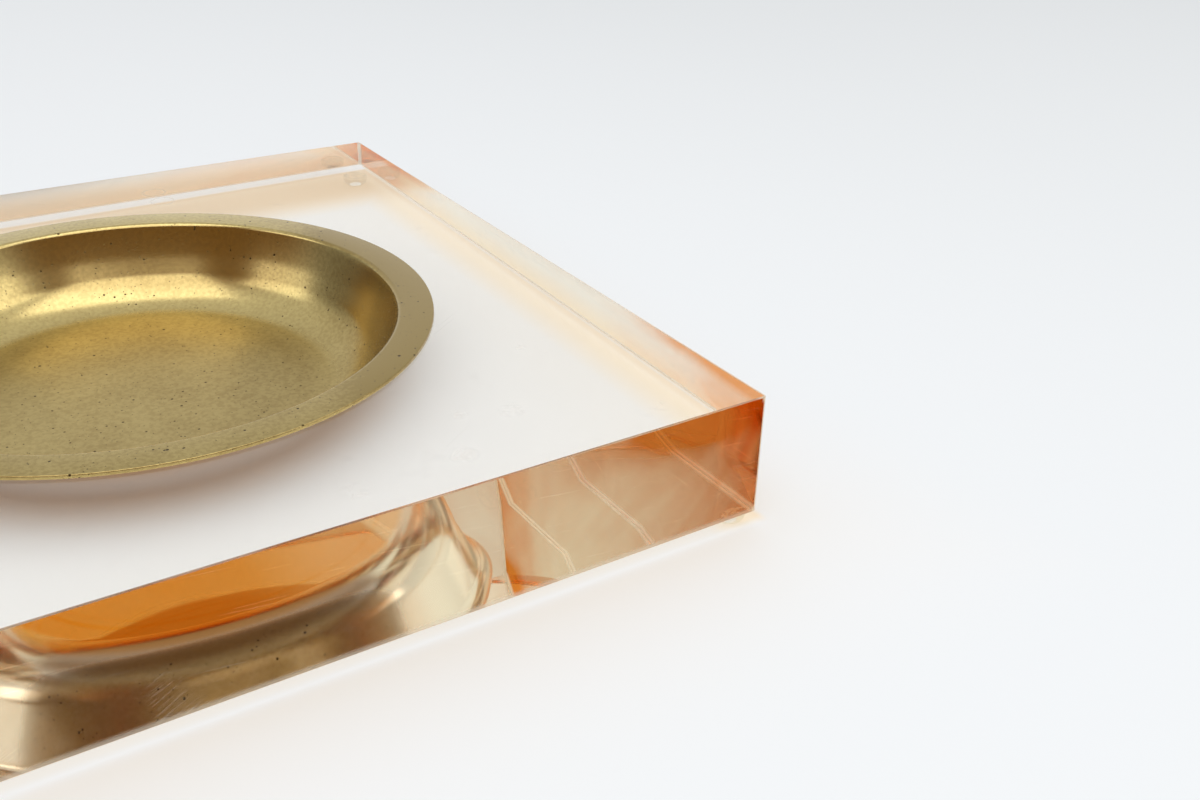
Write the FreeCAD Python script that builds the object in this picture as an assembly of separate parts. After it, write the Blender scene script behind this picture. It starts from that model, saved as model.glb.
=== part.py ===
"""Coin tray: a square clear acrylic block on four stick-on feet, with a brass dish that drops into a
turned recess and hangs on its flange. Millimetres, +Z up, origin under the middle of the block at
table level, front face towards -Y."""
import FreeCAD, Part
import math
import os

# Acrylic block
slab_side = 290.0          # square in plan
slab_thickness = 40.0      # thick cast sheet
slab_corner_round = 1.0    # upright edges, eased by polishing
slab_arris = 0.4           # chamfer along the top and bottom edges

# Recess turned into the top of the block
recess_floor_web = 11.9    # acrylic left under the recess
recess_gap = 1.0           # air between the recess and the dish, measured square to the wall
recess_rim_round = 6.0     # round-over from the recess wall to the top face

# Brass dish
brass_thickness = 1.1      # the same in floor, wall and flange
bowl_floor_radius = 62.2   # flat part of the floor
bowl_base_round = 18.0     # inside round between floor and wall
bowl_wall_lean = 25.0      # degrees that the wall leans out from upright
flange_bend = 0.9          # bend radius under the flange
flange_seat_width = 6.0    # how far the flange reaches on to the flat top of the block
flange_edge_round = 0.3    # upper outer edge of the flange
flange_seat_gap = 0.05     # hair of air between flange and block

# Clear bumper feet
bumper_diameter = 10.4
bumper_height = 3.8
bumper_round = 2.6         # round at the foot of each bumper, around its flat
adhesive_thickness = 0.2
adhesive_margin = 0.3      # bare edge of the bumper around its adhesive disc

# Feet are stuck on by hand: margin from the side edge and from the front or back edge of the block
bumper_margins = {
    "front_left": (2.4, 1.6),
    "front_right": (0.7, 0.7),
    "back_left": (3.8, 5.2),
    "back_right": (3.2, 7.6),
}

# Levels
slab_bottom = bumper_height + adhesive_thickness
slab_top = slab_bottom + slab_thickness
recess_floor = slab_bottom + recess_floor_web
bowl_underside = recess_floor + recess_gap
bowl_floor = bowl_underside + brass_thickness
flange_underside = slab_top + flange_seat_gap
flange_top = flange_underside + brass_thickness

# Angles of the bowl's section: straight down, square to the wall, straight up and out of the wall
lean = math.radians(bowl_wall_lean)
DOWN = -math.pi / 2
WALL = -lean
UP = math.pi / 2
WALL_BACK = math.pi - lean


def point(radius, level):
    """A point of a section in the XZ plane."""
    return FreeCAD.Vector(radius, 0, level)


def at_angle(centre, radius, angle):
    """The point of a circle at an angle, in the XZ plane."""
    return centre + point(radius * math.cos(angle), radius * math.sin(angle))


def arc(centre, radius, start, end):
    """An arc of a circle about centre from one angle to another."""
    middle = at_angle(centre, radius, (start + end) / 2)
    return Part.Arc(at_angle(centre, radius, start), middle, at_angle(centre, radius, end)).toShape()


def line(start, end):
    """A straight edge."""
    return Part.LineSegment(start, end).toShape()


def turned(edges):
    """The solid that a closed section makes when it is turned once round the Z axis."""
    section = Part.Face(Part.Wire(edges))
    return section.revolve(FreeCAD.Vector(), FreeCAD.Vector(0, 0, 1), 360)


def round_centre_radius(base_centre, base_radius, round_radius, centre_level):
    """Radius of the circle on which a round's centre lies, when the round touches the same wall from
    outside as the base round touches from inside."""
    rise = (centre_level - base_centre.z) * math.sin(lean)
    return base_centre.x + (base_radius + round_radius + rise) / math.cos(lean)


# The base round of bowl and recess share one centre line
bowl_centre = point(bowl_floor_radius, bowl_floor + bowl_base_round)
recess_round = bowl_base_round + brass_thickness + recess_gap
rim_level = slab_top - recess_rim_round
rim_centre = point(round_centre_radius(bowl_centre, recess_round, recess_rim_round, rim_level), rim_level)
mouth_radius = rim_centre.x
flange_radius = mouth_radius + flange_seat_width


def acrylic_slab():
    """The block, with its edges eased and the recess turned out of it."""
    corner = FreeCAD.Vector(-slab_side / 2, -slab_side / 2, slab_bottom)
    block = Part.makeBox(slab_side, slab_side, slab_thickness, corner)
    upright = [e for e in block.Edges if abs(e.tangentAt(e.FirstParameter).z) > 0.5]
    block = block.makeFillet(slab_corner_round, upright)
    flat = [e for e in block.Edges if e.BoundBox.ZLength < slab_thickness / 2]
    block = block.makeChamfer(slab_arris, flat)
    above = slab_top + slab_thickness
    wall_foot = at_angle(bowl_centre, recess_round, WALL)
    wall_head = at_angle(rim_centre, recess_rim_round, WALL_BACK)
    recess = turned([
        line(point(0, recess_floor), point(bowl_floor_radius, recess_floor)),
        arc(bowl_centre, recess_round, DOWN, WALL),
        line(wall_foot, wall_head),
        arc(rim_centre, recess_rim_round, WALL_BACK, UP),
        line(point(mouth_radius, slab_top), point(mouth_radius, above)),
        line(point(mouth_radius, above), point(0, above)),
        line(point(0, above), point(0, recess_floor)),
    ])
    return block.cut(recess)


def brass_dish():
    """The dish: flat floor, leaning wall and flat flange, all of one thickness."""
    under_round = bowl_base_round + brass_thickness
    lip_round = flange_bend + brass_thickness
    lip_level = flange_top - lip_round
    lip = point(round_centre_radius(bowl_centre, bowl_base_round, lip_round, lip_level), lip_level)
    edge_radius = flange_radius - flange_edge_round
    edge = point(edge_radius, flange_top - flange_edge_round)
    return turned([
        line(point(0, bowl_underside), point(bowl_floor_radius, bowl_underside)),
        arc(bowl_centre, under_round, DOWN, WALL),
        line(at_angle(bowl_centre, under_round, WALL), at_angle(lip, flange_bend, WALL_BACK)),
        arc(lip, flange_bend, WALL_BACK, UP),
        line(point(lip.x, flange_underside), point(flange_radius, flange_underside)),
        line(point(flange_radius, flange_underside), point(flange_radius, edge.z)),
        arc(edge, flange_edge_round, 0, UP),
        line(point(edge_radius, flange_top), point(lip.x, flange_top)),
        arc(lip, lip_round, UP, WALL_BACK),
        line(at_angle(lip, lip_round, WALL_BACK), at_angle(bowl_centre, bowl_base_round, WALL)),
        arc(bowl_centre, bowl_base_round, WALL, DOWN),
        line(point(bowl_floor_radius, bowl_floor), point(0, bowl_floor)),
        line(point(0, bowl_floor), point(0, bowl_underside)),
    ])


def bumper():
    """One foot, standing on its flat at the origin."""
    radius = bumper_diameter / 2
    foot_round = min(bumper_round, 0.75 * bumper_height, 0.6 * radius)
    flat_radius = radius - foot_round
    return turned([
        line(point(0, 0), point(flat_radius, 0)),
        arc(point(flat_radius, foot_round), foot_round, DOWN, 0),
        line(point(radius, foot_round), point(radius, bumper_height)),
        line(point(radius, bumper_height), point(0, bumper_height)),
        line(point(0, bumper_height), point(0, 0)),
    ])


def adhesive_disc():
    """The adhesive on top of one foot."""
    radius = bumper_diameter / 2 - adhesive_margin
    return Part.makeCylinder(radius, adhesive_thickness, FreeCAD.Vector(0, 0, bumper_height))


def bumper_place(corner):
    """Where a foot stands under the block, from its margins to the block's edges."""
    side_margin, end_margin = bumper_margins[corner]
    reach = slab_side / 2 - bumper_diameter / 2
    x = (reach - side_margin) * (1 if "right" in corner else -1)
    y = (reach - end_margin) * (1 if "back" in corner else -1)
    return FreeCAD.Vector(x, y, 0)


def main():
    """Write one file for each piece."""
    os.makedirs("parts", exist_ok=True)
    pieces = {"acrylic_slab": acrylic_slab(), "brass_dish": brass_dish()}
    for corner in bumper_margins:
        place = bumper_place(corner)
        pieces["bumper_" + corner] = bumper().translated(place)
        pieces["adhesive_" + corner] = adhesive_disc().translated(place)
    for name, shape in pieces.items():
        shape.exportStep("parts/" + name + ".step")
        print(name, "valid" if shape.isValid() else "NOT VALID", len(shape.Solids), round(shape.Volume, 1))


main()
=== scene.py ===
"""Coin tray: a thick square block of clear acrylic on four stick-on feet, with a satin brass dish that hangs
by its flange in a turned recess. Metres, +Z up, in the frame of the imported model."""
import logging
import math
from abc import ABC, abstractmethod
from dataclasses import dataclass, field
from enum import Enum
from functools import reduce
from typing import Any

import bmesh
import bpy
from mathutils import Matrix, Vector


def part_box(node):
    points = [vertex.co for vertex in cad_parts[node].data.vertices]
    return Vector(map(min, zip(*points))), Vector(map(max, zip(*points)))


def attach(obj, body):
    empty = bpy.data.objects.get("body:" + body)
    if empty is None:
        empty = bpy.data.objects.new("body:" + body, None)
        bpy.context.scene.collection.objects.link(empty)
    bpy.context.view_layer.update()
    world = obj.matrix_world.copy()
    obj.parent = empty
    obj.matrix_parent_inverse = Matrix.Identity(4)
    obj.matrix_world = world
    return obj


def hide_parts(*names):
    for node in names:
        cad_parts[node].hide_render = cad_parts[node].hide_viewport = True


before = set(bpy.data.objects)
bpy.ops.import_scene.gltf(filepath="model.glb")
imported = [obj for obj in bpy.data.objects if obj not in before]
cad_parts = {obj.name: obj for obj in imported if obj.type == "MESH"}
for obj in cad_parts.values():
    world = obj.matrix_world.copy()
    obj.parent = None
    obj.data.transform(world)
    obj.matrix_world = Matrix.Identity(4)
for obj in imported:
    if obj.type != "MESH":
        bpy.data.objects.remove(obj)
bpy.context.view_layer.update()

LOG = logging.getLogger("coin_tray")
MM = 0.001
WELD = 0.0005 * MM
SHARP = math.radians(40)
Colour = tuple[float, float, float, float]
Triple = tuple[float, float, float]
Pair = tuple[float, float]


class Shade:
    """One value in a node tree: a number, a colour, coordinates or a shader. What is asked of it adds nodes."""

    def __init__(self, graph: "Graph", socket: bpy.types.NodeSocket) -> None:
        """Hold an output socket and the graph that it is in."""
        self.graph = graph
        self.socket = socket

    def also(self, name: str) -> "Shade":
        """Another output of the same node."""
        return Shade(self.graph, self.socket.node.outputs[name])

    def math(self, operation: str, *values: Any) -> "Shade":
        """One Math node on some values, in their order."""
        return self.graph.node("ShaderNodeMath", {"operation": operation}, dict(enumerate(values)))

    def __add__(self, other: Any) -> "Shade":
        """Sum."""
        return self.math("ADD", self, other)

    def __radd__(self, other: Any) -> "Shade":
        """Sum, with the number first."""
        return self.math("ADD", other, self)

    def __sub__(self, other: Any) -> "Shade":
        """Difference."""
        return self.math("SUBTRACT", self, other)

    def __rsub__(self, other: Any) -> "Shade":
        """Difference, with the number first."""
        return self.math("SUBTRACT", other, self)

    def __mul__(self, other: Any) -> "Shade":
        """Product."""
        return self.math("MULTIPLY", self, other)

    def __truediv__(self, other: Any) -> "Shade":
        """Quotient."""
        return self.math("DIVIDE", self, other)

    def __pow__(self, other: Any) -> "Shade":
        """Power."""
        return self.math("POWER", self, other)

    def larger(self, other: Any) -> "Shade":
        """The larger of two values."""
        return self.math("MAXIMUM", self, other)

    def smaller(self, other: Any) -> "Shade":
        """The smaller of two values."""
        return self.math("MINIMUM", self, other)

    def unsigned(self) -> "Shade":
        """The value without its sign."""
        return self.math("ABSOLUTE", self)

    def between(self, low: float, high: float) -> "Shade":
        """A smooth step that is 0 at low and 1 at high. High may be under low."""
        ends = {"Value": self, "From Min": low, "From Max": high}
        return self.graph.node("ShaderNodeMapRange", {"interpolation_type": "SMOOTHSTEP"}, ends)

    def relief(self, depth: float) -> "Shade":
        """A normal from this height, which is counted in units of depth metres."""
        sockets = {"Strength": 1.0, "Distance": depth, "Height": self}
        return self.graph.node("ShaderNodeBump", sockets=sockets)

    def parts(self) -> tuple["Shade", "Shade", "Shade"]:
        """The three numbers of a vector."""
        split = self.graph.node("ShaderNodeSeparateXYZ", sockets={0: self})
        return split, split.also("Y"), split.also("Z")

    def radius(self, axis: Pair = (0.0, 0.0)) -> "Shade":
        """Level distance from an upright axis at some x and y. That of the dish is at the origin."""
        across, along = (part - offset for part, offset in zip(self.parts(), axis))
        return (across * across + along * along) ** 0.5

    def noise(self, scale: float, detail: float = 2.0, distortion: float = 0.0) -> "Shade":
        """Cloudy noise from 0 to 1 at these coordinates, with features of about 1 / scale."""
        sockets = {"Vector": self, "Scale": scale, "Detail": detail, "Distortion": distortion}
        return self.graph.node("ShaderNodeTexNoise", sockets=sockets)

    def streaks(self, turn: Triple, reach: Triple, detail: float = 1.0, distortion: float = 0.0) -> "Shade":
        """Noise at these coordinates that is drawn out along turned axes.

        Args:
            turn: Turn of the axes about X, Y and Z, in degrees.
            reach: Size of the features along each axis.
            detail: Detail of the noise.
            distortion: Distortion of the noise.
        Returns:
            The noise, from 0 to 1.
        """
        angles = tuple(math.radians(angle) for angle in turn)
        sockets = {"Vector": self, "Rotation": angles, "Scale": reach}
        drawn_out = self.graph.node("ShaderNodeMapping", {"vector_type": "TEXTURE"}, sockets)
        return drawn_out.noise(1.0, detail, distortion)

    def specks(self, pitch: float, most: float, share: float) -> "Shade":
        """Round specks of differing size, strewn at random over these coordinates.

        Args:
            pitch: Mean distance between the cells that may hold one.
            most: Radius of the largest.
            share: Share of cells that hold one.
        Returns:
            1 in the middle of a speck and 0 outside.
        """
        sockets = {"Vector": self, "Scale": 1 / pitch}
        cell = self.graph.node("ShaderNodeTexVoronoi", sockets=sockets, output="Distance")
        pick = self.graph.node("ShaderNodeSeparateColor", sockets={0: cell.also("Color")})
        size = (pick - (1 - share)).larger(0.0) * (most / pitch / share)
        return (size - cell).larger(0.0) / (size + 0.001)


class Graph:
    """The node tree of a material or the world."""

    def __init__(self, tree: bpy.types.NodeTree) -> None:
        """Start on an empty tree."""
        self.tree = tree
        tree.nodes.clear()

    def node(self, kind: str, settings: dict[str, Any] | None = None,
             sockets: dict[Any, Any] | None = None, output: Any = 0) -> Shade:
        """Add a node.

        Args:
            kind: The node's type.
            settings: Its settings, which are set first.
            sockets: Values or links of its input sockets, by name or number.
            output: The output that is returned, by name or number.
        Returns:
            That output.
        """
        node = self.tree.nodes.new(kind)
        for name, value in (settings or {}).items():
            setattr(node, name, value)
        for name, value in (sockets or {}).items():
            if isinstance(value, Shade):
                self.tree.links.new(value.socket, node.inputs[name])
            else:
                node.inputs[name].default_value = value
        return Shade(self, node.outputs[output] if len(node.outputs) else None)

    def rays(self, *kinds: str) -> Shade:
        """1 on rays of the named kinds and 0 on others."""
        path = self.node("ShaderNodeLightPath")
        return reduce(Shade.larger, (path.also(kind) for kind in kinds))

    def tone(self, share: Shade, low: Any, high: Any) -> Shade:
        """A colour between two others."""
        return self.node("ShaderNodeMix", {"data_type": "RGBA"}, {0: share, 6: low, 7: high}, 2)

    def blend(self, share: Any, first: Shade, second: Shade) -> Shade:
        """A shader between two others."""
        return self.node("ShaderNodeMixShader", sockets={0: share, 1: first, 2: second})

    def matt(self, colour: Any) -> Shade:
        """A shader with no gloss at all."""
        sockets = {"Base Color": colour, "Roughness": 1.0, "Specular IOR Level": 0.0}
        return self.node("ShaderNodeBsdfPrincipled", sockets=sockets)

    def sheer(self, colour: Colour) -> Shade:
        """A shader that tints light and lets it go straight on."""
        return self.node("ShaderNodeBsdfTransparent", sockets={"Color": colour})

    def glow(self, colour: Colour) -> Shade:
        """A shader that shows one colour in any light."""
        return self.node("ShaderNodeEmission", sockets={"Color": colour, "Strength": 1.0})


@dataclass(frozen=True)
class Finish(ABC):
    """How a surface looks."""

    name: str

    @abstractmethod
    def shader(self, place: Shade) -> Shade:
        """The look at some coordinates on a piece, in metres."""

    def material(self) -> bpy.types.Material:
        """Make a material with this look.

        Returns:
            The material.
        """
        material = bpy.data.materials.new(self.name)
        material.use_nodes = True
        graph = Graph(material.node_tree)
        look = self.shader(graph.node("ShaderNodeTexCoord", output="Object"))
        graph.node("ShaderNodeOutputMaterial", sockets={"Surface": look})
        return material


@dataclass(frozen=True)
class Tint:
    """What a face does to the colour of light that passes it, and of light that it throws back inside."""

    through: Colour
    inside: Colour


WHITE: Colour = (1, 1, 1, 1)
DULL_WHITE: Colour = (0.80, 0.76, 0.70, 1)
CAST = Tint((0.997, 0.998, 0.994, 1), (0.997, 0.997, 0.992, 1))
SIDE_THIN = Tint((0.985, 0.93, 0.79, 1), (0.985, 0.965, 0.88, 1))
SIDE_THICK = Tint((0.67, 0.235, 0.05, 1), (0.87, 0.34, 0.065, 1))
SIDE_LAMP: Colour = (0.82, 0.64, 0.42, 1)
RECESS_CLEAR = Tint((0.98, 0.97, 0.94, 1), (0.99, 0.98, 0.95, 1))
RECESS_STAIN = Tint((0.96, 0.86, 0.72, 1), (0.89, 0.53, 0.14, 1))
RECESS_LAMP: Colour = (0.95, 0.88, 0.78, 1)


@dataclass(frozen=True)
class AcrylicFinish(Finish):
    """One kind of face on the acrylic block. Its film is a stain from machining, its marks are haze."""

    thin: Tint
    thick: Tint
    lamp_tint: Colour
    mark_colour: Colour = DULL_WHITE
    mark_stained: Colour = DULL_WHITE
    mark_through: float = 0.0
    ior: float = 1.49

    @abstractmethod
    def marks(self, place: Shade) -> Shade:
        """Share of the face that is dulled by marks, from 0 to 1."""

    def film(self, place: Shade) -> Shade:
        """Thickness of the stain over the face, from 0 to 1."""
        return place.noise(25.0, 3.0)

    def waves(self, place: Shade) -> dict[str, Shade]:
        """The normal socket of a face that isn't quite flat."""
        return {}

    def polish(self, place: Shade) -> Any:
        """Roughness of the face."""
        return 0.0

    def stained(self, graph: Graph, tint: Tint, rough: Any, normal: dict[str, Shade]) -> Shade:
        """Clear acrylic with an even stain.

        Args:
            graph: The material's graph.
            tint: The stain.
            rough: Roughness of the face.
            normal: Its normal socket, if it has one.
        Returns:
            The shader.
        """
        sockets = {"Roughness": rough, "IOR": self.ior, **normal}
        glass = [graph.node("ShaderNodeBsdfGlass", sockets={"Color": colour, **sockets})
                 for colour in (tint.through, tint.inside)]
        thrown_back = graph.node("ShaderNodeFresnel", sockets={"IOR": self.ior, **normal})
        return graph.blend(thrown_back, *glass)

    def lit(self, place: Shade) -> Shade:
        """What light from the lamps meets: a tint, with no bend."""
        return place.graph.sheer(self.lamp_tint)

    def shader(self, place: Shade) -> Shade:
        """Stained acrylic with marks on it. Light from the lamps goes straight through.

        Args:
            place: Coordinates.
        Returns:
            The shader.
        """
        graph = place.graph
        film, rough, normal = self.film(place), self.polish(place), self.waves(place)
        clear = graph.blend(film, self.stained(graph, self.thin, rough, normal),
                            self.stained(graph, self.thick, rough, normal))
        mark = graph.matt(graph.tone(film, self.mark_colour, self.mark_stained))
        if self.mark_through:
            far = graph.node("ShaderNodeBsdfTranslucent", sockets={"Color": self.mark_colour})
            mark = graph.blend(self.mark_through, mark, far)
        seen = graph.blend(self.marks(place), clear, mark)
        return graph.blend(graph.rays("Is Shadow Ray", "Is Diffuse Ray"), seen, self.lit(place))


@dataclass(frozen=True)
class CastTop(AcrylicFinish):
    """The polished upper face. A smudge on it has an x, a y and a reach, in millimetres."""

    smudges: tuple[Triple, ...] = (
        (52.6, -130, 5.0), (76, -115, 4.5), (99, -80, 2.5),
        (62, -110, 3.0), (21, -132, 5.0), (114, -134, 4.0),
    )
    smudge_share: float = 0.26
    haze_share: float = 0.10
    scratch_share: float = 0.06
    dust_share: float = 0.15

    def marks(self, place: Shade) -> Shade:
        """Faint haze, ragged smudges, a few fine scratches, and dust.

        Args:
            place: Coordinates.
        Returns:
            The dulled share.
        """
        ragged = place.noise(170.0, 3.0, 0.8).between(0.42, 0.66)
        dulled = place.noise(30.0, 4.0, 0.6).between(0.64, 0.82) * self.haze_share
        for x, y, reach in self.smudges:
            away = place.radius((x * MM, y * MM))
            dulled = dulled + away.between(reach * MM, 0.3 * reach * MM) * ragged * self.smudge_share
        scratch = place.streaks((0, 0, 35), (0.06, 0.0006, 1)).between(0.76, 0.80)
        dust = place.specks(7 * MM, 0.3 * MM, 0.3)
        return dulled + scratch * self.scratch_share + dust * self.dust_share


@dataclass(frozen=True)
class SoftFace(AcrylicFinish):
    """A face too dull to mirror what lies before it, though it throws light back inside."""

    mirror_from: Pair = (0.15, 0.9)

    def stained(self, graph: Graph, tint: Tint, rough: Any, normal: dict[str, Shade]) -> Shade:
        """Clear acrylic with an even stain, which mirrors only where it would mirror well.

        Args:
            graph: The material's graph.
            tint: The stain.
            rough: Roughness of the face.
            normal: Its normal socket, if it has one.
        Returns:
            The shader.
        """
        bent = {"Color": tint.through, "Roughness": rough, "IOR": self.ior, **normal}
        mirrored = {"Color": tint.inside, "Roughness": rough, **normal}
        through = graph.node("ShaderNodeBsdfRefraction", sockets=bent)
        inside = graph.node("ShaderNodeBsdfGlossy", sockets=mirrored)
        thrown_back = graph.node("ShaderNodeFresnel", sockets={"IOR": self.ior, **normal})
        return graph.blend(thrown_back.between(*self.mirror_from), through, inside)


@dataclass(frozen=True)
class CastBottom(SoftFace):
    """The underside, with the ring that an earlier foot left behind, and painted shade under the dish."""

    ring_place: Pair = (52 * MM, 139 * MM)
    ring_radius: float = 4.6 * MM
    ring_width: float = 0.7 * MM
    ring_share: float = 0.25
    scuff_share: float = 0.06
    # Painted shade: a brown lamp tint in a disc under the dish, and how far it reaches.
    painted_shade_reach: Pair = (98 * MM, 70 * MM)
    painted_shade_tint: Colour = (0.86, 0.60, 0.38, 1)

    def lit(self, place: Shade) -> Shade:
        """Painted shade: lamp light through the underside is tinted brown under the dish, for the shade of the
        brass and the stained recess.
        """
        under = place.radius().between(*self.painted_shade_reach)
        return place.graph.blend(under, super().lit(place), place.graph.sheer(self.painted_shade_tint))

    def marks(self, place: Shade) -> Shade:
        """The ring, and light scuffs.

        Args:
            place: Coordinates.
        Returns:
            The dulled share.
        """
        off = (place.radius(self.ring_place) - self.ring_radius).unsigned()
        ring = off.between(self.ring_width, 0.2 * self.ring_width)
        scuff = place.noise(60.0, 5.0, 0.4).between(0.62, 0.85)
        return ring * self.ring_share + scuff * self.scuff_share


@dataclass(frozen=True)
class MachinedSide(SoftFace):
    """A sawn and flamed side, stained amber in clouds and in slanting smears."""

    bottom: float = 4 * MM
    top: float = 44 * MM
    corner: float = 145 * MM
    wave_height: float = 0.05
    roll_width: float = 9 * MM
    roll_drop: float = 0.30
    far_flatness: float = 0.85
    cloud_share: float = 0.37
    smear_share: float = 0.23
    middle_share: float = 0.12
    far_clearness: float = 0.4
    left_span: Pair = (-40 * MM, -75 * MM)
    left_share: float = 0.06
    back_share: float = 0.14
    edge_depth: float = 16 * MM
    edge_share: float = 0.6
    edge_least: float = 0.05
    corner_depth: float = 60 * MM
    corner_share: float = 0.5
    milk_span: Pair = (10 * MM, 70 * MM)
    milk_share: float = 0.10
    milk_least: float = 0.04
    worn_depth: float = 2.4 * MM
    worn_share: float = 0.4
    worn_right: float = 0.55
    line_share: float = 0.10
    wipe_rise: Pair = (26 * MM, 16 * MM)
    wipe_span: Pair = (15 * MM, 5 * MM)
    wipe_share: float = 0.16
    nick_share: float = 0.35

    def far_end(self, along: Shade) -> Shade:
        """1 on the right or the back of the block, told by its x or its y, and 0 elsewhere."""
        return along.between(self.corner - 2 * MM, self.corner - MM)

    def waves(self, place: Shade) -> dict[str, Shade]:
        """Wave a little, and roll off at the upper and lower edges, most on the front and the left.

        Args:
            place: Coordinates.
        Returns:
            The normal socket, from a height in millimetres.
        """
        x, y, level = place.parts()
        middle, half = (self.top + self.bottom) / 2, (self.top - self.bottom) / 2 - self.roll_width
        off = ((level - middle).unsigned() - half).larger(0.0) / self.roll_width
        flat = self.far_end(x).larger(self.far_end(y)) * self.far_flatness
        height = place.noise(10.0, 0.0) * self.wave_height - off * off * self.roll_drop * (1 - flat)
        return {"Normal": height.relief(MM)}

    def smears(self, place: Shade) -> Shade:
        """Slanting wipes, long one way and narrow the other, from 0 to 1."""
        return place.streaks((38, -35, 20), (0.15, 0.022, 0.034), 3.0, 0.5)

    def film(self, place: Shade) -> Shade:
        """Clouds and smears, thicker along the upper edge and the upright edges, except on the back.

        Args:
            place: Coordinates.
        Returns:
            The thickness of the stain.
        """
        x, y, level = place.parts()
        right, back = self.far_end(x), self.far_end(y)
        ends = x.unsigned().smaller(y.unsigned())
        cloud = place.noise(13.0, 4.0, 0.5).between(0.34, 0.66) * self.cloud_share
        smear = self.smears(place).between(0.40, 0.66) * self.smear_share
        patchy = ends.between(0.3 * self.corner, 0.78 * self.corner)
        patchy = patchy * (1 - self.middle_share) + self.middle_share
        patchy = patchy * (1 - back.larger(right) * self.far_clearness)
        edge = ends.between(0.44 * self.corner, 0.72 * self.corner) * self.edge_share + self.edge_least
        edge = level.between(self.top - self.edge_depth, self.top) * edge
        corner = ends.between(self.corner - self.corner_depth, self.corner) * self.corner_share
        mist = (cloud + smear) * patchy + x.between(*self.left_span) * self.left_share
        return mist + (edge + corner) * (1 - back) + back * self.back_share

    def marks(self, place: Shade) -> Shade:
        """Milky smears, worn strips along the edges, fine lines, wipes and nicks.

        Args:
            place: Coordinates.
        Returns:
            The dulled share.
        """
        x, _, level = place.parts()
        right = self.far_end(x)
        milk = x.between(*self.milk_span) * self.milk_share + self.milk_least
        milk = self.smears(place).between(0.47, 0.27) * milk
        below = level.between(self.bottom + self.worn_depth, self.bottom + 0.3 * self.worn_depth)
        above = level.between(self.top - self.worn_depth, self.top - 0.3 * self.worn_depth)
        worn = below.larger(above * right) * (right * self.worn_right + self.worn_share)
        lines = place.streaks((0, 6, 0), (0.030, 0.05, 0.0006)).between(0.66, 0.76)
        wipes = place.streaks((0, -28, 0), (0.012, 0.05, 0.0005)).between(0.50, 0.66)
        patch = place.noise(36.0, 1.0).between(0.52, 0.62)
        patch = patch * level.between(*self.wipe_rise) * x.between(*self.wipe_span)
        nick = place.specks(11 * MM, 0.45 * MM, 0.3)
        fine = lines * self.line_share + wipes * patch * self.wipe_share + nick * self.nick_share
        return milk + worn + fine


@dataclass(frozen=True)
class WornEdge(AcrylicFinish):
    """The eased edges, rubbed matt by hand and use."""

    mark_colour: Colour = (0.95, 0.86, 0.72, 1)
    mark_through: float = 0.5
    low_span: Pair = (30 * MM, 10 * MM)
    right_span: Pair = (140 * MM, 144 * MM)
    rubbed_share: float = 0.6
    uneven_share: float = 0.25
    least_share: float = 0.1

    def marks(self, place: Shade) -> Shade:
        """Rubbed more below and on the right than elsewhere, and unevenly.

        Args:
            place: Coordinates.
        Returns:
            The dulled share.
        """
        x, _, level = place.parts()
        rubbed = level.between(*self.low_span).larger(x.between(*self.right_span))
        uneven = place.noise(60.0, 3.0).between(0.25, 0.75)
        return uneven * self.uneven_share + rubbed * self.rubbed_share + self.least_share


@dataclass(frozen=True)
class TurnedRecess(AcrylicFinish):
    """The recess, clear on its polished wall and stained on its flat floor, under the brass."""

    floor_radius: float = 62.2 * MM
    fade: float = 2.5 * MM
    floor_share: float = 0.74
    cloud_share: float = 0.22
    ring_share: float = 0.2
    ring_span: Pair = (40 * MM, 58 * MM)
    rings_per_metre: float = 330.0
    right_span: Pair = (-5 * MM, 50 * MM)
    right_clearness: float = 0.5
    floor_rough: float = 0.02
    wall_rough: float = 0.14
    haze_share: float = 0.04

    def film(self, place: Shade) -> Shade:
        """Soft clouds and the tool's rings, on the floor alone, thinner to the right.

        Args:
            place: Coordinates.
        Returns:
            The thickness of the stain.
        """
        radius = place.radius()
        floor = radius.between(self.floor_radius + self.fade, self.floor_radius)
        cloud = place.noise(18.0, 3.0, 0.3).between(0.20, 0.70)
        along = place.graph.node("ShaderNodeCombineXYZ", sockets={0: radius * self.rings_per_metre})
        rings = along.noise(1.0, 2.0).between(0.52, 0.66) * radius.between(*self.ring_span)
        stain = cloud * self.cloud_share + rings * self.ring_share + self.floor_share
        clear = place.parts()[0].between(*self.right_span) * self.right_clearness
        return floor * stain * (1 - clear)

    def polish(self, place: Shade) -> Any:
        """Smooth on the floor, less so on the wall."""
        wall = place.radius().between(self.floor_radius, self.floor_radius + self.fade)
        return wall * self.wall_rough + self.floor_rough

    def marks(self, place: Shade) -> Shade:
        """Faint haze."""
        return place.noise(45.0, 4.0).between(0.55, 0.85) * self.haze_share


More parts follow.
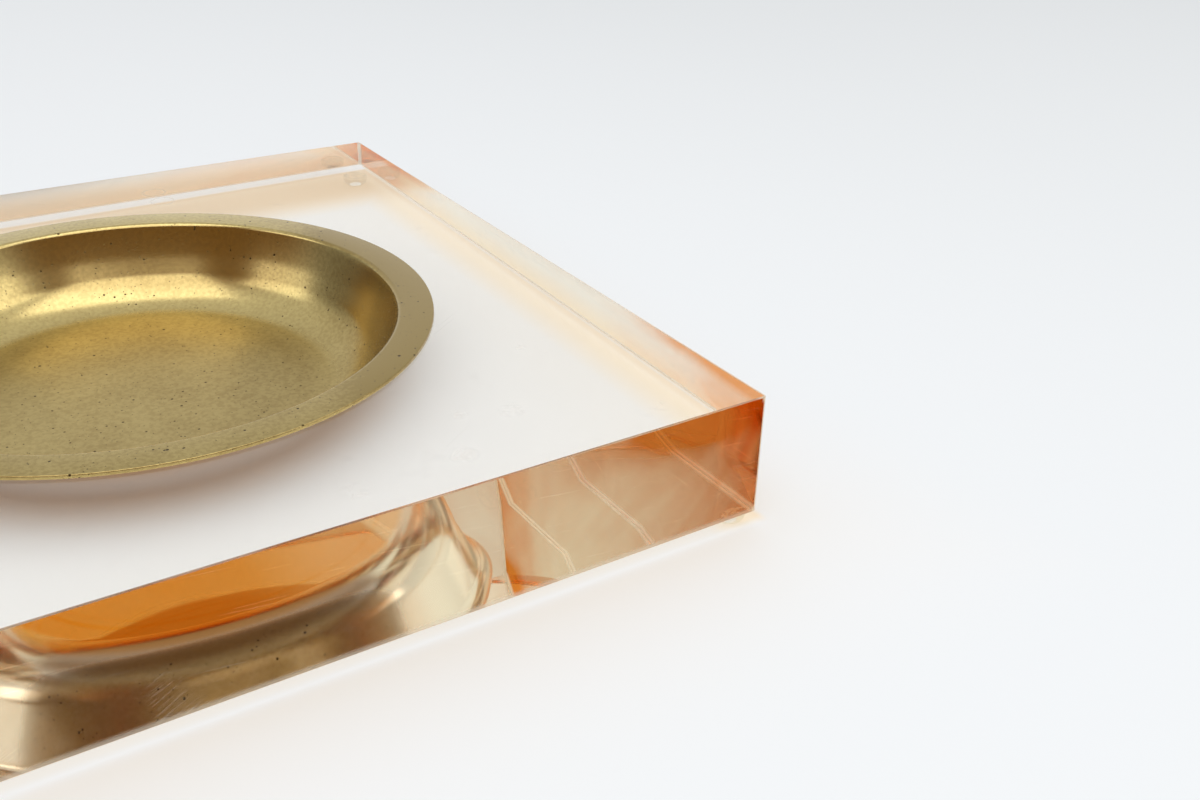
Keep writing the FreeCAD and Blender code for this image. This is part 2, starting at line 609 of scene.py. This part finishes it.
@dataclass(frozen=True)
class BrassFinish(Finish):
    """Satin brass, tarnished in clouds and grain and painted darker in places, with fine pits and faint turning
    lines.
    """

    name: str = "satin_brass"
    bright: Colour = (0.665, 0.525, 0.222, 1)
    aged: Colour = (0.375, 0.268, 0.098, 1)
    pit: Colour = (0.09, 0.06, 0.025, 1)
    roughness: float = 0.17
    relief: float = 0.05
    bow: float = 1.0
    cloud_tarnish: float = 0.25
    grain_tarnish: float = 0.28
    # Painted shade: darker dish floor, flange front, and right side of flange and upper wall, where the metal
    # mirrors dimmer surroundings.
    floor_painted_shade: float = 0.42
    floor_span: Pair = (66 * MM, 54 * MM)
    painted_shade_way: Pair = (0.97, 0.25)
    flange_rise: Pair = (44 * MM, 45 * MM)
    flange_span: Pair = (40 * MM, 95 * MM)
    flange_painted_shade: float = 1.3
    flange_shade_unevenness: float = 0.6
    wall_rise: Pair = (45 * MM, 42 * MM)
    wall_span: Pair = (60 * MM, 82 * MM)
    wall_painted_shade: float = 0.9
    front_span: Pair = (60 * MM, -20 * MM)
    front_painted_shade: float = 0.4
    base_inner: Pair = (55 * MM, 73 * MM)
    base_outer: Pair = (82 * MM, 74 * MM)
    base_bow: float = 0.75
    wall_foot: float = 33 * MM
    wall_height: float = 11 * MM
    wall_bow: float = 0.64
    lines_per_metre: float = 1400.0
    cloud_rough: float = 0.05
    grain_rough: float = 0.05
    pit_rough: float = 0.3
    floor_rough: float = 0.10
    rough_span: Pair = (72 * MM, 58 * MM)
    grain_height: float = 0.03
    line_height: float = 0.02
    cloud_height: float = 0.15
    pit_depth: float = 0.8

    def pits(self, place: Shade) -> Shade:
        """Casting pits: a few large ones and many small.

        Args:
            place: Coordinates.
        Returns:
            1 in the middle of a pit and 0 outside.
        """
        large = place.specks(4.5 * MM, 0.65 * MM, 0.55)
        middle = place.specks(2.4 * MM, 0.48 * MM, 0.5)
        small = place.specks(1.1 * MM, 0.30 * MM, 0.6) * 0.5
        return large.larger(middle).larger(small)

    def painted_shade(self, place: Shade) -> Shade:
        """Painted shade: the dish floor, the front of the flange, and the right of flange and upper wall made
        darker, where the metal mirrors dimmer surroundings.

        Args:
            place: Coordinates.
        Returns:
            The painted shade, over 1 where uneven noise may take some off.
        """
        x, y, level = place.parts()
        aside = x * self.painted_shade_way[0] - y * self.painted_shade_way[1]
        upper = level.between(*self.flange_rise)
        rubbed = place.noise(55.0, 4.0, 0.8).between(0.50, 0.60) * self.flange_shade_unevenness
        floor = place.radius().between(*self.floor_span) * self.floor_painted_shade
        flange = upper * aside.between(*self.flange_span) * (self.flange_painted_shade - rubbed)
        wall = level.between(*self.wall_rise) * aside.between(*self.wall_span) * self.wall_painted_shade
        return floor + flange + wall + upper * y.between(*self.front_span) * self.front_painted_shade

    def bowed(self, place: Shade) -> Shade:
        """How far the spun base round and wall bow inwards off the plain section.

        Args:
            place: Coordinates.
        Returns:
            The height, in millimetres.
        """
        radius, level = place.radius(), place.parts()[2]
        base = radius.between(*self.base_inner) * radius.between(*self.base_outer) * self.base_bow
        wall = ((level - self.wall_foot).larger(0.0) / self.wall_height) ** 2.0 * self.wall_bow
        return (base + wall) * self.bow

    def turning(self, place: Shade) -> Shade:
        """Lines round the dish: noise that runs fast with radius and slowly with angle.

        Args:
            place: Coordinates.
        Returns:
            The noise, from 0 to 1.
        """
        x, y, level = place.parts()
        radius = place.radius()
        fast = (radius + level) * self.lines_per_metre
        sockets = {0: x / (radius + MM), 1: y / (radius + MM), 2: fast}
        return place.graph.node("ShaderNodeCombineXYZ", sockets=sockets).noise(1.0, 2.0)

    def shader(self, place: Shade) -> Shade:
        """Bright metal that is tarnished, pitted and worn, and painted darker in places as shade.

        Args:
            place: Coordinates.
        Returns:
            The shader.
        """
        graph = place.graph
        cloud, grain = place.noise(28.0, 5.0, 0.4), place.noise(750.0, 3.0)
        pits, turning = self.pits(place), self.turning(place)
        # The first term is painted shade; the cloud and grain terms are random tarnishing.
        tarnish_and_shade = self.painted_shade(place) + cloud.between(0.30, 0.72) * self.cloud_tarnish
        tarnish_and_shade = tarnish_and_shade + grain.between(0.35, 0.68) * self.grain_tarnish
        colour = graph.tone(pits.between(0.0, 0.3), graph.tone(tarnish_and_shade, self.bright, self.aged), self.pit)
        rough = self.roughness + cloud * self.cloud_rough + grain * self.grain_rough + pits * self.pit_rough
        rough = rough + place.radius().between(*self.rough_span) * self.floor_rough
        height = grain * self.grain_height + turning * self.line_height + cloud * self.cloud_height
        height = (height - pits * self.pit_depth) * self.relief + self.bowed(place)
        sockets = {"Base Color": colour, "Roughness": rough, "Metallic": 1.0, "Normal": height.relief(MM)}
        return graph.node("ShaderNodeBsdfPrincipled", sockets=sockets)


SATIN_BRASS = BrassFinish()
# The underside: rougher brass, and also painted darker as shade from the dim gap between dish and recess.
DULL_SHADED_BRASS = BrassFinish("dull_brass_painted_shade", (0.405, 0.285, 0.135, 1), (0.28, 0.175, 0.073, 1), roughness=0.34,
                         relief=0.015, bow=0.0)


@dataclass(frozen=True)
class BumperFinish(Finish):
    """Clear soft plastic, a little cloudy with age."""

    name: str = "clear_bumper"
    clear: Colour = (0.97, 0.965, 0.94, 1)
    cloudy: Colour = (0.90, 0.87, 0.80, 1)
    clear_rough: float = 0.05
    cloudy_rough: float = 0.2
    cloud_share: float = 0.5
    soft_share: float = 0.92
    ior: float = 1.47

    def shader(self, place: Shade) -> Shade:
        """Soft glass in clouds. Light from the lamps goes straight through.

        Args:
            place: Coordinates.
        Returns:
            The shader.
        """
        graph = place.graph
        cloud = place.noise(300.0, 3.0).between(0.4, 0.8)
        looks = ((self.clear, self.clear_rough), (self.cloudy, self.cloudy_rough))
        glass = [graph.node("ShaderNodeBsdfGlass", sockets={"Color": c, "Roughness": r, "IOR": self.ior})
                 for c, r in looks]
        lit = graph.sheer(self.clear)
        seen = graph.blend(self.soft_share, graph.blend(cloud * self.cloud_share, *glass), lit)
        return graph.blend(graph.rays("Is Shadow Ray", "Is Diffuse Ray"), seen, lit)


@dataclass(frozen=True)
class AdhesiveFinish(Finish):
    """Clear adhesive that has let go in places, so that it shows pale and ragged through the block."""

    name: str = "aged_adhesive"
    pale: Colour = (0.95, 0.88, 0.76, 1)
    front_span: Pair = (0.0, -0.1)
    front_share: float = 0.35
    back_share: float = 0.05

    def shader(self, place: Shade) -> Shade:
        """Ragged flakes on a clear film, most at the front.

        Args:
            place: Coordinates.
        Returns:
            The shader.
        """
        graph = place.graph
        loose = place.parts()[1].between(*self.front_span) * self.front_share + self.back_share
        ragged = place.noise(420.0, 3.0, 0.8).between(0.42, 0.56)
        flake = graph.node("ShaderNodeBsdfDiffuse", sockets={"Color": self.pale})
        return graph.blend(ragged * loose, graph.sheer(WHITE), flake)


@dataclass(frozen=True)
class FloorFinish(Finish):
    """A pale paper sweep, which the eye, metal and glass see partly as plain white light, with painted light
    and
    shade on it: amber paper and amber glow by the stained sides, a brown glow under the dish as its painted
    shadow, and paper painted darker towards the right."""

    name: str = "paper_floor"
    pale: Colour = (0.915, 0.935, 0.957, 1)
    # Painted shade: the paper is made darker towards the right, where less lamp light falls.
    painted_falloff: Colour = (0.84, 0.86, 0.875, 1)
    painted_falloff_span: Pair = (0.10, 0.70)
    painted_falloff_drift: float = 0.1
    glow: Colour = (0.88, 0.92, 0.95, 1)
    glow_share: float = 0.52
    # Painted light: amber paper colour and amber glow by the stained right and back sides, deeper behind.
    amber: Colour = (1.0, 0.85, 0.62, 1)
    painted_amber_colour_share: float = 0.7
    painted_amber_least: float = 0.2
    painted_amber_right: Pair = (0.122, 0.147)
    painted_amber_back: Pair = (0.092, 0.128)
    painted_amber_outside: Pair = (5.5 * MM, 2.5 * MM)
    painted_amber_inside: Pair = (-2 * MM, 3 * MM)
    painted_deep_amber: Colour = (0.80, 0.62, 0.40, 1)
    painted_deep_amber_share: float = 0.85
    # Painted shadow: a brown glow on the floor under the dish.
    brown: Colour = (0.53, 0.285, 0.115, 1)
    painted_shadow_reach: Pair = (0.076, 0.058)
    block_reach: float = 0.145
    under_block: Pair = (4 * MM, -3 * MM)
    beyond_block: Pair = (12 * MM, 90 * MM)
    beside_least: float = 0.2
    behind_span: Pair = (98 * MM, 122 * MM)
    behind_loss: float = 0.7
    dish_shadow: Pair = (0.072, 0.116)

    def open_share(self, place: Shade) -> Shade:
        """How open the floor lies, from 0 under the dish, over a dip round the block, to 1 far out.

        Args:
            place: Coordinates.
        Returns:
            The share.
        """
        x, y, _ = place.parts()
        out = x.unsigned().larger(y.unsigned()) - self.block_reach
        under = out.between(*self.under_block)
        beyond = out.between(*self.beyond_block) * (1 - self.beside_least) + self.beside_least
        behind = under * y.between(*self.behind_span) * self.behind_loss
        return place.radius().between(*self.dish_shadow) * under.larger(beyond) * (1 - behind)

    def painted_amber_mask(self, place: Shade) -> Shade:
        """How much painted amber light lies on the floor by the stained right and back sides.

        Args:
            place: Coordinates.
        Returns:
            The share, which is 0 away from the block.
        """
        x, y, _ = place.parts()
        right, back = x.between(*self.painted_amber_right), y.between(*self.painted_amber_back)
        within = (x.larger(y) - self.block_reach).between(*self.painted_amber_outside)
        within = within * (x.smaller(y) + self.block_reach).between(*self.painted_amber_inside)
        return right.larger(back).larger(self.painted_amber_least) * within

    def shader(self, place: Shade) -> Shade:
        """Matt paper with painted light and shade in its colour, under plain light and painted glows.

        Args:
            place: Coordinates.
        Returns:
            The shader.
        """
        graph = place.graph
        x, y, _ = place.parts()
        # Painted shade: the paper colour is made darker towards the right.
        aside = x + place.noise(3.0, 4.0) * self.painted_falloff_drift
        stained = self.painted_amber_mask(place)
        colour = graph.tone(aside.between(*self.painted_falloff_span), self.pale, self.painted_falloff)
        # Painted light: the paper is tinted amber by the stained right and back sides, and deeper amber behind.
        colour = graph.tone(stained * self.painted_amber_colour_share, colour, self.amber)
        colour = graph.tone(stained * y.between(*self.painted_amber_back) * self.painted_deep_amber_share, colour, self.painted_deep_amber)
        # Painted glows: amber light by the stained sides, and a brown painted shadow under the dish; the white
        # glow is plain light.
        white, warm, painted_dish_shadow = (graph.glow(light) for light in (self.glow, self.amber, self.brown))
        below = place.radius().between(*self.painted_shadow_reach)
        plain = graph.blend(below, graph.blend(stained, white, warm), painted_dish_shadow)
        seen = graph.rays("Is Camera Ray", "Is Glossy Ray", "Is Transmission Ray")
        share = self.open_share(place).larger(below) * self.glow_share
        return graph.blend(seen * share, graph.matt(colour), plain)


@dataclass
class Section:
    """Half of a turned shape: points of radius and level that are spun round the Z axis."""

    points: list[Pair] = field(default_factory=list)

    def to(self, radius: float, level: float) -> "Section":
        """Run straight to a point.

        Args:
            radius: Its radius.
            level: Its level.
        Returns:
            This section.
        """
        if not self.points or math.dist(self.points[-1], (radius, level)) > WELD:
            self.points.append((radius, level))
        return self

    def arc(self, centre: Pair, radius: float, start: float, end: float, chords: int) -> "Section":
        """Run along a circle.

        Args:
            centre: Radius and level of its centre.
            radius: Its radius.
            start: Angle at which the arc starts, in degrees from straight outwards.
            end: Angle at which it ends.
            chords: How many chords stand for it.
        Returns:
            This section.
        """
        for step in range(chords + 1):
            angle = math.radians(start + (end - start) * step / chords)
            self.to(centre[0] + radius * math.cos(angle), centre[1] + radius * math.sin(angle))
        return self

    def spin(self, bm: bmesh.types.BMesh, steps: int) -> None:
        """Turn the section once round the Z axis, with its seam and poles closed.

        Args:
            bm: The mesh that it is added to.
            steps: How many chords stand for a whole turn.
        """
        verts = [bm.verts.new((radius, 0.0, level)) for radius, level in self.points]
        edges = [bm.edges.new(pair) for pair in zip(verts, verts[1:])]
        bmesh.ops.spin(bm, geom=verts + edges, cent=(0, 0, 0), axis=(0, 0, 1), angle=math.tau, steps=steps,
                       use_merge=True)
        bmesh.ops.remove_doubles(bm, verts=bm.verts, dist=WELD)

    def turned(self, steps: int) -> bmesh.types.BMesh:
        """A mesh of the whole turned shape, smooth but for its sharp edges.

        Args:
            steps: How many chords stand for a whole turn.
        Returns:
            The mesh.
        """
        bm = bmesh.new()
        self.spin(bm, steps)
        bmesh.ops.recalc_face_normals(bm, faces=bm.faces)
        for face in bm.faces:
            face.smooth = True
        for edge in bm.edges:
            edge.smooth = edge.calc_face_angle(0.0) < SHARP
        return bm


def new_object(name: str, bm: bmesh.types.BMesh, materials: list[bpy.types.Material]) -> bpy.types.Object:
    """Make an object at the origin.

    Args:
        name: Its name.
        bm: Its shape, which is freed.
        materials: Its materials, in the order of their slots.
    Returns:
        The object, in the scene.
    """
    mesh = bpy.data.meshes.new(name)
    bm.to_mesh(mesh)
    bm.free()
    for material in materials:
        mesh.materials.append(material)
    made = bpy.data.objects.new(name, mesh)
    bpy.context.scene.collection.objects.link(made)
    return made


def dress(made: bpy.types.Object, body: str, node: str) -> None:
    """Fit a new piece to the frame.

    Args:
        made: The piece.
        body: The body that it rides on.
        node: The CAD node that it replaces.
    """
    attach(made, body)
    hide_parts(node)
    LOG.info("%s: %d faces, rides on %s for %s", made.name, len(made.data.polygons), body, node)


class Face(Enum):
    """The kinds of face on the acrylic block, by material slot."""

    TOP = 0
    BOTTOM = 1
    SIDE = 2
    RECESS = 3
    EDGE = 4


@dataclass
class Bowl:
    """The section that the recess and the dish share."""

    floor_radius: float = 62.2 * MM
    base_round: float = 18 * MM
    wall_lean: float = 25.0
    floor_level: float = 18 * MM

    @property
    def centre(self) -> Pair:
        """Radius and level of the centre of the base round."""
        return self.floor_radius, self.floor_level + self.base_round

    def turn_radius(self, base_round: float, outer_round: float, level: float) -> float:
        """Radius of the centre of a round that turns the wall outwards.

        Args:
            base_round: Radius of the base round that the wall runs up from.
            outer_round: Radius of the round itself.
            level: Level of its centre.
        Returns:
            The radius from the axis.
        """
        lean = math.radians(self.wall_lean)
        rise = (level - self.centre[1]) * math.sin(lean)
        return self.floor_radius + (base_round + outer_round + rise) / math.cos(lean)


@dataclass
class AcrylicBlock:
    """The block with its turned recess."""

    bowl: Bowl
    corner_round: float = 1.0 * MM
    corner_chords: int = 6
    arris: float = 0.4 * MM
    arris_chords: int = 3
    wall_offset: float = 2.1 * MM
    base_chords: int = 24
    rim_round: float = 6.0 * MM
    rim_chords: int = 14
    steps: int = 240

    def __post_init__(self) -> None:
        """Take the block's size and place from the frame."""
        low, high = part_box("acrylic_slab")
        self.bottom, self.top = low.z, high.z
        self.side = high.x - low.x

    def recess(self) -> Section:
        """Draw the recess.

        Returns:
            The section from its middle to its mouth.
        """
        bowl = self.bowl
        base_round = bowl.base_round + self.wall_offset
        rim_level = self.top - self.rim_round
        rim = (bowl.turn_radius(base_round, self.rim_round, rim_level), rim_level)
        section = Section().to(0, bowl.centre[1] - base_round)
        section.arc(bowl.centre, base_round, -90, -bowl.wall_lean, self.base_chords)
        return section.arc(rim, self.rim_round, 180 - bowl.wall_lean, 90, self.rim_chords)

    def kind(self, face: bmesh.types.BMFace, mouth: float) -> Face:
        """The kind of a face, by where it lies.

        Args:
            face: A face of the block.
            mouth: Radius of the recess at the upper face.
        Returns:
            Its kind.
        """
        middle = face.calc_center_median()
        if middle.z < self.bottom + self.arris / 4:
            return Face.BOTTOM
        if middle.z > self.top - WELD:
            return Face.TOP
        if math.hypot(middle.x, middle.y) < mouth:
            return Face.RECESS
        return Face.SIDE if max(abs(face.normal.x), abs(face.normal.y)) > 1 - WELD else Face.EDGE

    def body(self) -> bmesh.types.BMesh:
        """Make the box with its eased edges, open above.

        Returns:
            The mesh.
        """
        bm = bmesh.new()
        size = Matrix.Diagonal((self.side, self.side, self.top - self.bottom, 1))
        middle = Matrix.Translation((0, 0, (self.top + self.bottom) / 2))
        bmesh.ops.create_cube(bm, size=1, matrix=middle @ size)
        upright = [e for e in bm.edges if abs(e.verts[0].co.z - e.verts[1].co.z) > WELD]
        bmesh.ops.bevel(bm, geom=upright, offset=self.corner_round, segments=self.corner_chords,
                        profile=0.5, affect="EDGES", material=-1)
        level = [e for e in bm.edges if abs(e.verts[0].co.z - e.verts[1].co.z) < WELD]
        bmesh.ops.bevel(bm, geom=level, offset=self.arris, segments=self.arris_chords,
                        profile=0.5, affect="EDGES", material=-1)
        lid = [f for f in bm.faces if f.calc_center_median().z > self.top - WELD]
        bmesh.ops.delete(bm, geom=lid, context="FACES_ONLY")
        return bm

    def build(self) -> None:
        """Make the block: the recess is spun into the open box, and the upper face fills what is left."""
        bm = self.body()
        section = self.recess()
        section.spin(bm, self.steps)
        rims = [e for e in bm.edges if e.is_boundary]
        bmesh.ops.triangle_fill(bm, edges=rims, use_beauty=True, normal=(0, 0, 1))
        bmesh.ops.recalc_face_normals(bm, faces=bm.faces)
        broad = self.side * self.corner_round
        for face in bm.faces:
            kind = self.kind(face, section.points[-1][0])
            face.material_index = kind.value
            face.smooth = kind is Face.RECESS or (kind is not Face.TOP and face.calc_area() < broad)
        made = new_object("acrylic_slab_polished", bm, self.finishes())
        dress(made, "block", "acrylic_slab")

    def finishes(self) -> list[bpy.types.Material]:
        """Make a material for each kind of face.

        Returns:
            The materials, in the order of the kinds.
        """
        made = {
            Face.TOP: CastTop("acrylic_top", CAST, CAST, WHITE),
            Face.BOTTOM: CastBottom("acrylic_underside", CAST, CAST, WHITE),
            Face.SIDE: MachinedSide("acrylic_side", SIDE_THIN, SIDE_THICK, SIDE_LAMP,
                                    mark_colour=(1.0, 0.93, 0.80, 1), mark_stained=(0.95, 0.72, 0.46, 1),
                                    mark_through=0.6, bottom=self.bottom, top=self.top, corner=self.side / 2),
            Face.RECESS: TurnedRecess("acrylic_recess", RECESS_CLEAR, RECESS_STAIN, RECESS_LAMP),
            Face.EDGE: WornEdge("acrylic_edge", SIDE_THIN, SIDE_THICK, SIDE_LAMP),
        }
        return [made[kind].material() for kind in Face]


@dataclass
class BrassDish:
    """The dish: flat floor, leaning wall and flat flange, all of one thickness."""

    bowl: Bowl
    thickness: float = 1.1 * MM
    base_chords: int = 28
    flange_bend: float = 0.9 * MM
    bend_chords: int = 6
    lip_chords: int = 10
    edge_round: float = 0.3 * MM
    edge_chords: int = 5
    steps: int = 288

    def section(self) -> Section:
        """Draw the dish.

        Returns:
            The section from the middle of its underside, round its flange, to the middle of its floor.
        """
        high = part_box("brass_dish")[1]
        bowl, lean, reach, top = self.bowl, self.bowl.wall_lean, high.x, high.z
        under_round = bowl.base_round + self.thickness
        lip_round = self.flange_bend + self.thickness
        lip = (bowl.turn_radius(bowl.base_round, lip_round, top - lip_round), top - lip_round)
        edge = (reach - self.edge_round, top - self.edge_round)
        section = Section().to(0, bowl.floor_level - self.thickness)
        section.arc(bowl.centre, under_round, -90, -lean, self.base_chords)
        section.arc(lip, self.flange_bend, 180 - lean, 90, self.bend_chords)
        section.to(reach, top - self.thickness)
        section.arc(edge, self.edge_round, 0, 90, self.edge_chords)
        section.arc(lip, lip_round, 90, 180 - lean, self.lip_chords)
        section.arc(bowl.centre, bowl.base_round, -lean, -90, self.base_chords)
        return section.to(0, bowl.floor_level)

    def build(self) -> None:
        """Make the dish, satin above, and dull and painted darker below."""
        bm = self.section().turned(self.steps)
        for face in bm.faces:
            face.material_index = int(face.normal.z < -WELD)
        made = new_object("brass_dish_turned", bm, [SATIN_BRASS.material(), DULL_SHADED_BRASS.material()])
        dress(made, "dish", "brass_dish")


class Corner(Enum):
    """The corners of the block that have a foot."""

    FRONT_LEFT = "front_left"
    FRONT_RIGHT = "front_right"
    BACK_LEFT = "back_left"
    BACK_RIGHT = "back_right"


@dataclass
class Feet:
    """Four clear bumpers and the adhesive that holds them."""

    foot_round: float = 2.6 * MM
    foot_chords: int = 12
    shoulder: float = 0.25 * MM
    shoulder_chords: int = 4
    sink: float = 0.01 * MM
    steps: int = 64

    def set_at(self, section: Section, node: str) -> bmesh.types.BMesh:
        """Turn a section and set it where a CAD node stands.

        Args:
            section: The section, about the Z axis.
            node: The node.
        Returns:
            The mesh.
        """
        low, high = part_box(node)
        bm = section.turned(self.steps)
        bmesh.ops.translate(bm, verts=bm.verts, vec=((low.x + high.x) / 2, (low.y + high.y) / 2, 0))
        return bm

    def bumper(self, node: str, finish: bpy.types.Material) -> bpy.types.Object:
        """Make one foot, with a round at the table and a small shoulder under the adhesive.

        Args:
            node: The CAD node that it stands for.
            finish: Its material.
        Returns:
            The object.
        """
        low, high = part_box(node)
        radius, top = (high.x - low.x) / 2, high.z
        foot = (radius - self.foot_round, low.z + self.foot_round)
        shoulder = (radius - self.shoulder, top - self.shoulder)
        section = Section().to(0, low.z)
        section.arc(foot, self.foot_round, -90, 0, self.foot_chords)
        section.arc(shoulder, self.shoulder, 0, 90, self.shoulder_chords)
        return new_object(node + "_clear", self.set_at(section.to(0, top), node), [finish])

    def film(self, node: str, finish: bpy.types.Material) -> bpy.types.Object:
        """Make one adhesive disc, sunk by a hair into the underside of the block so that it wets it.

        Args:
            node: The CAD node that it stands for.
            finish: Its material.
        Returns:
            The object.
        """
        low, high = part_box(node)
        radius = (high.x - low.x) / 2
        section = Section().to(0, low.z + self.sink).to(radius, low.z + self.sink)
        section.to(radius, high.z + self.sink).to(0, high.z + self.sink)
        return new_object(node + "_film", self.set_at(section, node), [finish])

    def build(self) -> None:
        """Make the feet and their adhesive."""
        clear, aged = BumperFinish().material(), AdhesiveFinish().material()
        for corner in Corner:
            foot, glue = "bumper_" + corner.value, "adhesive_" + corner.value
            dress(self.bumper(foot, clear), "block", foot)
            dress(self.film(glue, aged), "block", glue)


@dataclass(frozen=True)
class PhotoCamera:
    """The camera that took the photograph, from a fit to the block's edges."""

    focal_px: float = 1285.9
    frame_px: float = 1200.0
    sensor: float = 36.0
    yaw: float = 34.208
    pitch: float = 27.831
    roll: float = -1.799
    stand: Triple = (-0.08378, -0.3944, 0.21765)

    @property
    def heading(self) -> tuple[Vector, Vector]:
        """The level ways straight ahead of the camera and to its right."""
        yaw = math.radians(self.yaw)
        return Vector((math.sin(yaw), math.cos(yaw), 0)), Vector((math.cos(yaw), -math.sin(yaw), 0))

    def build(self) -> None:
        """Make the camera and let the scene use it."""
        level, side = self.heading
        pitch, roll = math.radians(self.pitch), math.radians(self.roll)
        ahead = level * math.cos(pitch) - Vector((0, 0, math.sin(pitch)))
        down = ahead.cross(side)
        right = side * math.cos(roll) + down * math.sin(roll)
        up = side * math.sin(roll) - down * math.cos(roll)
        lens = bpy.data.cameras.new("photo_camera")
        lens.sensor_width = self.sensor
        lens.lens = self.focal_px / self.frame_px * self.sensor
        lens.clip_start = MM
        made = bpy.data.objects.new("photo_camera", lens)
        turn = Matrix((right, up, -ahead)).transposed().to_4x4()
        made.matrix_world = Matrix.Translation(self.stand) @ turn
        bpy.context.scene.collection.objects.link(made)
        bpy.context.scene.camera = made


@dataclass(frozen=True)
class Softbox:
    """A soft lamp that faces the middle of the tray. Bearing is to the right of the camera's heading."""

    name: str
    bearing: float
    rise: float
    away: float
    width: float
    height: float
    watts: float
    roll: float = 0.0

    def build(self, camera: PhotoCamera) -> None:
        """Make the lamp.

        Args:
            camera: The camera that its bearing is taken from.
        """
        level, side = camera.heading
        bearing, rise = math.radians(self.bearing), math.radians(self.rise)
        way = level * math.cos(bearing) + side * math.sin(bearing)
        way = way * math.cos(rise) + Vector((0, 0, math.sin(rise)))
        across = Vector((0, 0, 1)).cross(way).normalized()
        lamp = bpy.data.lights.new(self.name, "AREA")
        lamp.shape = "RECTANGLE"
        lamp.size, lamp.size_y, lamp.energy = self.width, self.height, self.watts
        made = bpy.data.objects.new(self.name, lamp)
        turn = Matrix((across, way.cross(across), way)).transposed().to_4x4()
        turn = turn @ Matrix.Rotation(math.radians(self.roll), 4, "Z")
        made.matrix_world = Matrix.Translation(way * self.away) @ turn
        bpy.context.scene.collection.objects.link(made)


@dataclass
class Studio:
    """The floor, the light and the camera. A span is of the share of a way that lies along an axis."""

    camera: PhotoCamera = PhotoCamera()
    floor_reach: float = 4.0
    pale: Colour = (0.86, 0.88, 0.905, 1)
    black: Colour = (0, 0, 0, 1)
    room_dim: Colour = (0.19, 0.10, 0.031, 1)
    room_bright: Colour = (1.0, 1.02, 1.03, 1)
    room_level: float = 0.59
    room_ahead: float = 0.41
    room_above: float = 0.2
    above_span: Pair = (0.65, 1.0)
    room_left: float = 0.15
    left_span: Pair = (-0.40, -0.75)
    far_left_loss: float = 0.6
    far_left_span: Pair = (-0.80, -0.98)
    behind_span: Pair = (-0.10, -0.50)
    bounces: int = 32
    lamps: tuple[Softbox, ...] = (
        Softbox("overhead_softbox", 168.0, 69.0, 1.2, 1.25, 1.22, 7.0),
        Softbox("left_softbox", -110.0, 35.5, 1.2, 0.62, 0.49, 1.15, 18.0),
        Softbox("right_softbox", 88.0, 40.0, 1.3, 0.80, 0.55, 1.9),
    )

    def build_floor(self) -> None:
        """Make the paper floor."""
        bm = bmesh.new()
        bmesh.ops.create_grid(bm, x_segments=8, y_segments=8, size=self.floor_reach)
        floor = new_object("floor", bm, [FloorFinish().material()])

    def build_world(self) -> None:
        """Light the room: bright low beyond the tray, less high up and far to the left, dim and warm behind
        the camera. The eye sees only the pale sweep."""
        world = bpy.data.worlds.new("studio")
        world.use_nodes = True
        bpy.context.scene.world = world
        graph = Graph(world.node_tree)
        way = graph.node("ShaderNodeTexCoord", output="Generated")
        onward, aside = (graph.node("ShaderNodeVectorMath", {"operation": "DOT_PRODUCT"},
                                    {0: way, 1: tuple(axis)}, "Value") for axis in self.camera.heading)
        up = way.parts()[2].larger(0.0)
        level = self.room_level + onward.larger(0.0) * (1 - up) * self.room_ahead
        level = level + up.between(*self.above_span) * self.room_above
        left = 1 + aside.between(*self.left_span) * self.room_left
        left = left - aside.between(*self.far_left_span) * self.far_left_loss
        room = graph.tone(level * left, self.black, self.room_bright)
        room = graph.tone(onward.between(*self.behind_span), room, self.room_dim)
        light = graph.node("ShaderNodeBackground", sockets={"Color": room})
        plain = graph.node("ShaderNodeBackground", sockets={"Color": self.pale})
        seen = graph.blend(graph.rays("Is Camera Ray"), light, plain)
        graph.node("ShaderNodeOutputWorld", sockets={"Surface": seen})

    def build(self) -> None:
        """Set the stage."""
        scene = bpy.context.scene
        self.build_floor()
        self.build_world()
        self.camera.build()
        for lamp in self.lamps:
            lamp.build(self.camera)
        scene.view_settings.view_transform = "Standard"
        scene.cycles.max_bounces = self.bounces
        scene.cycles.transmission_bounces = self.bounces
        scene.cycles.glossy_bounces = self.bounces
        scene.cycles.transparent_max_bounces = self.bounces


def main() -> None:
    """Build the tray and its studio."""
    logging.basicConfig(level=logging.INFO, format="%(name)s: %(message)s")
    bowl = Bowl()
    AcrylicBlock(bowl).build()
    BrassDish(bowl).build()
    Feet().build()
    Studio().build()


if __name__ == "__main__":
    main()
